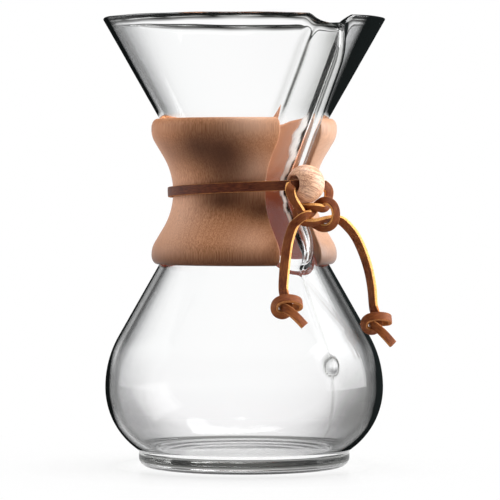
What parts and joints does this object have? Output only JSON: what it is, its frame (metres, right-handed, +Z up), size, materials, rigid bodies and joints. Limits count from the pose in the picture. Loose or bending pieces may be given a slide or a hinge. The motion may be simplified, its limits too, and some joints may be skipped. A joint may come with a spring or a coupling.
{
  "type": "pour-over coffee maker",
  "caption": "Hourglass pour-over coffee maker: blown glass funnel and carafe in one piece, with a pouring channel, a split wooden collar and a tied leather lace with a wooden bead.",
  "frame": {"origin": "centre of the foot ring, on the plane it stands on", "axes": "+Z up through the funnel, -Y towards the pouring channel (the front), +X to the right of someone facing the channel"},
  "size_m": [0.1362, 0.1376, 0.216],
  "materials": {
    "clear_glass": "clear blown borosilicate glass, fire-polished rim",
    "collar_wood": "reddish-brown hardwood, satin oiled",
    "bead_wood": "light hardwood, satin, end grain at the sides",
    "lace_leather": "dark brown rawhide with paler orange-brown cut edges"
  },
  "bodies": {
    "brewer": {"glass_carafe": "clear_glass", "collar_half_left": "collar_wood", "collar_half_right": "collar_wood", "lace_band": "lace_leather", "knot_left": "lace_leather", "knot_right": "lace_leather", "tail_left": "lace_leather", "tail_right": "lace_leather", "end_knot_left": "lace_leather", "end_knot_right": "lace_leather"},
    "bead_body": {"bead": "bead_wood"}
  },
  "joints": [
    {"name": "bead_spin", "type": "hinge", "parent": "brewer", "child": "bead_body", "pos_m": [0, -0.0462, 0.1354], "axis": [1, 0, 0], "continuous": true}
  ]
}
